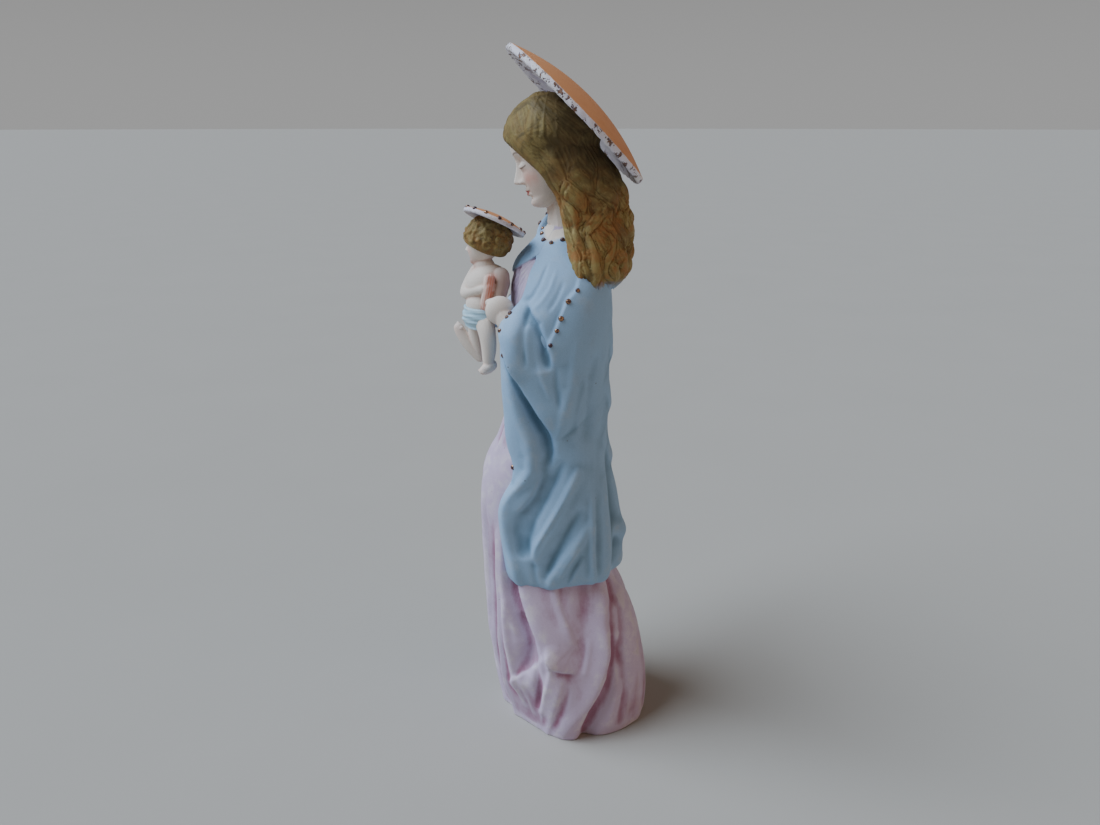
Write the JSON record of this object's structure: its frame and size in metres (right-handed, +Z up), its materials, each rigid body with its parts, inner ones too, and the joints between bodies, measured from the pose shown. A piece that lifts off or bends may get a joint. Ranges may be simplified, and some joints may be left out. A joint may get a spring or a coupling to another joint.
{
  "type": "virgin and child statue",
  "caption": "Standing painted bisque statue of a haloed woman in a long gown and mantle who holds a haloed child before her.",
  "frame": {"origin": "middle of the flat underside, on the surface that the statue stands on", "axes": "+Z up, -Y the way the woman faces, +X her left side, which is the side in the picture"},
  "size_m": [0.075, 0.087, 0.2982],
  "materials": {
    "painted_bisque": "unglazed bisque porcelain, hand painted in matt pale blue, lilac pink, olive gold and peach, with white skin and worn gilding"
  },
  "bodies": {
    "root": {"virgin_and_child": "painted_bisque"}
  },
  "joints": []
}
